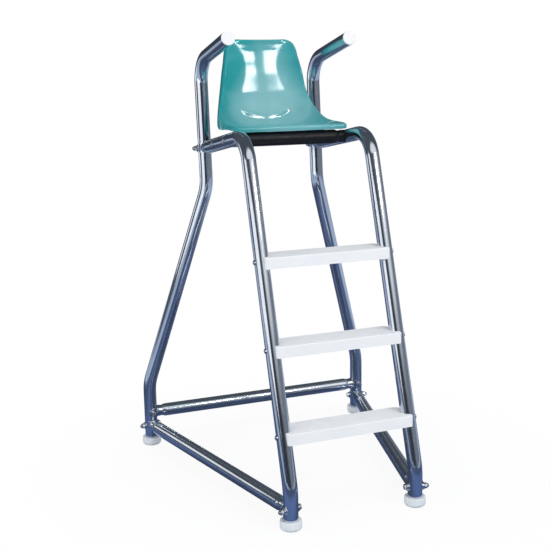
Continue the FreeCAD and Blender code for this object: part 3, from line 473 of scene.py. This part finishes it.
def shell_mesh():
    """The seating surface with the rolled rim and the flange round it, as one sheet."""
    grid, ways, depths = seat_grid()
    rows, columns = len(grid), len(grid[0])
    points = [point for row in grid for point in row]
    faces = []
    for row in range(rows - 1):
        for column in range(columns - 1):
            corner = row * columns + column
            faces.append((corner, corner + 1, corner + columns + 1, corner + columns))
    loop = rim_loop(rows, columns)
    ring = [row * columns + column for row, column in loop]
    outward = []
    for number, (row, column) in enumerate(loop):
        ahead = loop[(number + 4) % len(loop)]
        behind = loop[number - 4]
        run = grid[ahead[0]][ahead[1]] - grid[behind[0]][behind[1]]
        outward.append(ways[row].cross(run).normalized())
    for turn, drop in flange_steps():
        next_ring = []
        for number, (row, column) in enumerate(loop):
            straight = max(depths[row] - ROLL, 0.002) * drop
            side = outward[number] * ROLL * math.sin(turn)
            down = ways[row] * (ROLL * (1 - math.cos(turn)) + straight)
            next_ring.append(len(points))
            points.append(grid[row][column] + side + down)
        for number in range(len(loop)):
            after = (number + 1) % len(loop)
            faces.append((ring[after], ring[number], next_ring[number], next_ring[after]))
        ring = next_ring
    mesh = bpy.data.meshes.new("seat")
    mesh.from_pydata(points, [], faces)
    mesh.validate()
    return mesh


def new_object(name, mesh):
    piece = bpy.data.objects.new(name, mesh)
    bpy.context.scene.collection.objects.link(piece)
    return piece


def apply_modifiers(piece):
    bpy.context.view_layer.update()
    graph = bpy.context.evaluated_depsgraph_get()
    mesh = bpy.data.meshes.new_from_object(piece.evaluated_get(graph))
    piece.modifiers.clear()
    piece.data = mesh


def finish_piece(piece, material):
    piece.data.materials.clear()
    piece.data.materials.append(material)
    for face in piece.data.polygons:
        face.use_smooth = True
    piece.data.set_sharp_from_angle(angle=math.radians(40))
    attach(piece, "root")


def lathe(profile, place, up, segments=48):
    """A turned mesh: the profile gives radius and height pairs from one end to the other."""
    work = bmesh.new()
    turn = Vector((0, 0, 1)).rotation_difference(up)
    rings = []
    for radius, height in profile:
        ring = []
        for number in range(segments):
            angle = 2 * math.pi * number / segments
            point = Vector((radius * math.cos(angle), radius * math.sin(angle), height))
            ring.append(work.verts.new(place + turn @ point))
        rings.append(ring)
    for low, high in zip(rings, rings[1:]):
        for number in range(segments):
            after = (number + 1) % segments
            work.faces.new((low[number], low[after], high[after], high[number]))
    work.faces.new(list(reversed(rings[0])))
    work.faces.new(rings[-1])
    mesh = bpy.data.meshes.new("turned")
    work.to_mesh(mesh)
    work.free()
    return mesh


# Seat bolts: where they go through the deck, the holes for their shanks and heads in the shell, and
# the moulded feet that stand on the straps round them. Heights are above the straps.

STRAP_TOP = 0.02815
BOLT_PLACES = [(x, back) for x in (-0.110, 0.110) for back in (0.034, 0.098)]
SHANK_HOLE = 0.0043
HEAD_RECESS = 0.0088
RECESS_FLOOR = 0.004
HOLE_PROFILE = (
    (SHANK_HOLE, -0.010), (SHANK_HOLE, RECESS_FLOOR), (HEAD_RECESS, RECESS_FLOOR),
    (HEAD_RECESS, 0.030))
FOOT_PROFILE = (
    (SHANK_HOLE, 0.0001), (0.0160, 0.0001), (0.0168, 0.0005), (0.0171, 0.0012),
    (0.0175, 0.0030), (SHANK_HOLE, 0.0036))


def add_seat(material):
    """The shell with its wall, its rounded edge and the holes for the seat bolts."""
    shell = new_object("seat_moulding", shell_mesh())
    wall = shell.modifiers.new("wall", "SOLIDIFY")
    wall.thickness = SHELL_WALL
    wall.offset = -1
    edge = shell.modifiers.new("edge", "BEVEL")
    edge.width = EDGE_ROUND
    edge.segments = 2
    edge.limit_method = "ANGLE"
    edge.angle_limit = math.radians(50)
    apply_modifiers(shell)
    cutters = []
    for number, (x, back) in enumerate(BOLT_PLACES):
        mesh = lathe(HOLE_PROFILE, on_deck(x, back, STRAP_TOP), DECK_UP, 40)
        cutter = new_object(f"cutter_{number}", mesh)
        cutters.append(cutter)
        hole = shell.modifiers.new("hole", "BOOLEAN")
        hole.object = cutter
        hole.solver = "EXACT"
    apply_modifiers(shell)
    for cutter in cutters:
        bpy.data.objects.remove(cutter)
    finish_piece(shell, material)
    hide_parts("seat_shell")


def add_seat_feet(material):
    for number, (x, back) in enumerate(BOLT_PLACES):
        mesh = lathe(FOOT_PROFILE, on_deck(x, back, STRAP_TOP), DECK_UP)
        foot = new_object(f"seat_foot_{number + 1}", mesh)
        finish_piece(foot, material)


# Materials


def new_material(name):
    material = bpy.data.materials.new(name)
    return material, Tree(material)


def polished_tube(name, turn):
    """Polished stainless tube with fine polishing lines along it; turn brings its axis to +Z."""
    material, tree = new_material(name)
    along = tree.place((1, 1, 0.02), turn)
    lines = tree.noise(along, 900, 2.0)
    bands = tree.noise(along, 120, 2.0)
    cloud = tree.noise(tree.place(), 9, 4.0)
    smear = tree.noise(tree.place((1, 1, 0.35), turn), 38, 5.0, 0.62)
    tone = tree.ramp(cloud, (0.3, (0.66, 0.70, 0.76)), (0.7, (0.76, 0.79, 0.84)))
    colour = tree.mix(tree.span(bands, 0.35, 0.65, 0.0, 0.22), tone, (0.56, 0.60, 0.68, 1))
    worn = tree.span(smear, 0.48, 0.72)
    fine = tree.span(lines, 0.3, 0.7, 0.07, 0.12)
    roughness = tree.math("ADD", fine, tree.math("MULTIPLY", worn, 0.09))
    normal = tree.bump(lines, 0.02, 0.0001)
    tree.surface(base_color=colour, metallic=1.0, roughness=roughness, normal=normal)
    return material


def bolt_steel():
    """Turned and pressed steel for bolts, nuts and washers."""
    material, tree = new_material("bolt_steel")
    cloud = tree.noise(tree.place(), 60, 3.0)
    grain = tree.noise(tree.place((1, 1, 0.1)), 1500, 2.0)
    colour = tree.ramp(cloud, (0.35, (0.515, 0.530, 0.562)), (0.65, (0.66, 0.68, 0.72)))
    roughness = tree.span(grain, 0.3, 0.7, 0.16, 0.26)
    normal = tree.bump(grain, 0.12, 0.0002)
    tree.surface(base_color=colour, metallic=1.0, roughness=roughness, normal=normal)
    return material


def seat_bearer():
    """Black enamel on the bars under the seat, with fine dust and a few chips."""
    material, tree = new_material("seat_bearer")
    where = tree.place()
    dust = tree.span(tree.noise(where, 55, 5.0, 0.65), 0.45, 0.75, 0.0, 0.30)
    colour = tree.mix(dust, (0.006, 0.007, 0.009, 1), (0.030, 0.032, 0.037, 1))
    chips = tree.span(tree.noise(where, 330, 4.0, 0.7), 0.70, 0.73)
    chipped = tree.mix(chips, colour, (0.22, 0.23, 0.25, 1))
    roughness = tree.span(tree.noise(where, 40, 4.0), 0.3, 0.7, 0.30, 0.48)
    peel = tree.noise(where, 400, 2.0)
    normal = tree.bump(peel, 0.10, 0.0003)
    tree.surface(
        base_color=chipped, roughness=roughness, normal=normal, specular_ior_level=0.3)
    return material


def painted_sheen_on_seat(tree, where, parts):
    """How strong the painted sheen is: a paler teal haze painted on the pan and the lower back, most
    where people sit, least at the sides and the top.
    """
    height = parts["Z"]
    sideways = tree.math("ABSOLUTE", tree.math("SUBTRACT", parts["X"], 0.03))
    spread = tree.math("DIVIDE", sideways, tree.span(height, 1.25, 1.47, 0.20, 0.075))
    sheen_across = tree.span(spread, 0.45, 1.20, 1.0, 0.0)
    back = tree.span(height, 1.30, 1.50, 1.0, 0.32)
    front = tree.span(height, 1.235, 1.29, 0.62, 1.0)
    patchy = tree.span(tree.noise(where, 14, 4.0), 0.3, 0.7, 0.85, 1.10)
    level = tree.math("MULTIPLY", tree.math("MULTIPLY", back, front), patchy)
    return tree.math("MULTIPLY", sheen_across, level)


def scuffs_on_pan(tree, height):
    """Fine marks from clothes on the pan."""
    pan = tree.span(height, 1.23, 1.26, 1.0, 0.0)
    scuffs = tree.noise(tree.place((1, 0.15, 1), (0, 0, 18)), 240, 4.0, 0.6)
    return tree.math("MULTIPLY", tree.span(scuffs, 0.56, 0.70), pan)


def seat_plastic():
    """Teal gel coat, with a painted sheen of paler teal where people sit and painted shade of deeper
    teal on the faces turned to the back.
    """
    material, tree = new_material("seat_plastic")
    where = tree.place()
    parts = tree.split(where)
    cloud = tree.noise(where, 7, 4.0)
    fleck = tree.noise(where, 420, 2.0)
    colour = tree.ramp(cloud, (0.3, (0.004, 0.300, 0.325)), (0.7, (0.010, 0.335, 0.360)))
    flecked = tree.mix(tree.span(fleck, 0.55, 0.75, 0.0, 0.25), colour, (0.03, 0.38, 0.40, 1))
    # Painted sheen: a paler teal haze laid over the middle of the pan and the lower back.
    with_painted_sheen = tree.mix(painted_sheen_on_seat(tree, where, parts), flecked, (0.230, 0.500, 0.535, 1))
    marks = scuffs_on_pan(tree, parts["Z"])
    worn = tree.mix(tree.math("MULTIPLY", marks, 0.35), with_painted_sheen, (0.28, 0.57, 0.59, 1))
    # Painted shade: faces turned to the back are mixed towards a deeper teal.
    painted_back_shade = tree.span(tree.facing()["Y"], 0.2, 0.6)
    coat = tree.mix(painted_back_shade, worn, (0.012, 0.155, 0.170, 1))
    smear = tree.noise(where, 26, 5.0, 0.6)
    base = tree.span(smear, 0.35, 0.70, 0.36, 0.46)
    roughness = tree.math("ADD", base, tree.math("MULTIPLY", marks, 0.15))
    orange_peel = tree.noise(where, 260, 1.5)
    normal = tree.bump(orange_peel, 0.06, 0.0004)
    tree.surface(
        base_color=coat, roughness=roughness, normal=normal, specular_ior_level=0.2,
        coat_weight=1.0, coat_roughness=0.07)
    return material


def tread_plastic():
    """White moulded plastic with a fine pebble grain, greyer where feet have stood."""
    material, tree = new_material("tread_plastic")
    where = tree.place()
    cloud = tree.noise(where, 11, 4.0)
    clean = tree.ramp(cloud, (0.3, (0.84, 0.865, 0.90)), (0.7, (0.88, 0.895, 0.92)))
    top = tree.span(tree.facing()["Z"], 0.7, 0.95)
    stains = tree.span(tree.noise(where, 30, 5.0, 0.65), 0.50, 0.75)
    trodden = tree.math("MULTIPLY", tree.math("MULTIPLY", stains, top), 0.18)
    colour = tree.mix(trodden, clean, (0.62, 0.63, 0.62, 1))
    pebble = tree.add("ShaderNodeTexVoronoi", vector=where, scale=620).outputs["Distance"]
    roughness = tree.span(tree.noise(where, 45, 3.0), 0.3, 0.7, 0.34, 0.50)
    normal = tree.bump(pebble, 0.16, 0.0003)
    tree.surface(base_color=colour, roughness=roughness, normal=normal)
    return material


def foot_plastic():
    """White rubbery plastic, scuffed and grey near the floor."""
    material, tree = new_material("foot_plastic")
    where = tree.place()
    height = tree.split(where)["Z"]
    ragged = tree.math("ADD", height, tree.span(tree.noise(where, 90, 4.0), 0.0, 1.0, -0.008, 0.008))
    dirt = tree.span(ragged, 0.001, 0.012, 0.55, 0.0)
    clean = tree.ramp(
        tree.noise(where, 25, 3.0), (0.3, (0.72, 0.77, 0.82)), (0.7, (0.80, 0.84, 0.88)))
    colour = tree.mix(dirt, clean, (0.34, 0.36, 0.38, 1))
    scratches = tree.noise(tree.place((1, 1, 6)), 260, 3.0)
    roughness = tree.span(scratches, 0.3, 0.7, 0.42, 0.62)
    normal = tree.bump(scratches, 0.15, 0.0003)
    tree.surface(base_color=colour, roughness=roughness, normal=normal)
    return material


def plug_plastic():
    """White moulded end plugs of the handrails, a little rubbed by hands."""
    material, tree = new_material("plug_plastic")
    where = tree.place()
    cloud = tree.noise(where, 60, 4.0)
    colour = tree.ramp(cloud, (0.3, (0.80, 0.81, 0.83)), (0.7, (0.84, 0.845, 0.86)))
    grain = tree.noise(where, 500, 2.0)
    roughness = tree.span(cloud, 0.3, 0.7, 0.38, 0.52)
    normal = tree.bump(grain, 0.04, 0.0001)
    tree.surface(base_color=colour, roughness=roughness, normal=normal)
    return material


# Dressing: each node takes the finish whose key its name starts with, and fasteners the rest

UPRIGHT = (0, 0, 0)
ACROSS = (0, 90, 0)
ALONG_LEFT = (90, 0, 14)
ALONG_RIGHT = (90, 0, -14)

upright_tube = polished_tube("polished_upright", UPRIGHT)
black_enamel = seat_bearer()
teal = seat_plastic()
white_tread = tread_plastic()
fastener_steel = bolt_steel()
FINISHES = {
    "ladder_rail": upright_tube,
    "rear_upright": upright_tube,
    "rear_cross_brace": polished_tube("polished_across", ACROSS),
    "side_brace_left": polished_tube("polished_left_brace", ALONG_LEFT),
    "side_brace_right": polished_tube("polished_right_brace", ALONG_RIGHT),
    "seat_cross_tube": black_enamel,
    "seat_rear_bar": black_enamel,
    "seat_strap": black_enamel,
    "seat_shell": teal,
    "tread_low": white_tread,
    "tread_middle": white_tread,
    "tread_high": white_tread,
    "foot_cap": foot_plastic(),
    "handle_plug": plug_plastic(),
}


def finish_for(name):
    for start, material in FINISHES.items():
        if name.startswith(start):
            return material
    return fastener_steel


for name, node in nodes.items():
    node.data.materials.clear()
    node.data.materials.append(finish_for(name))

add_seat(teal)
add_seat_feet(teal)

bpy.context.scene.view_settings.view_transform = "Standard"
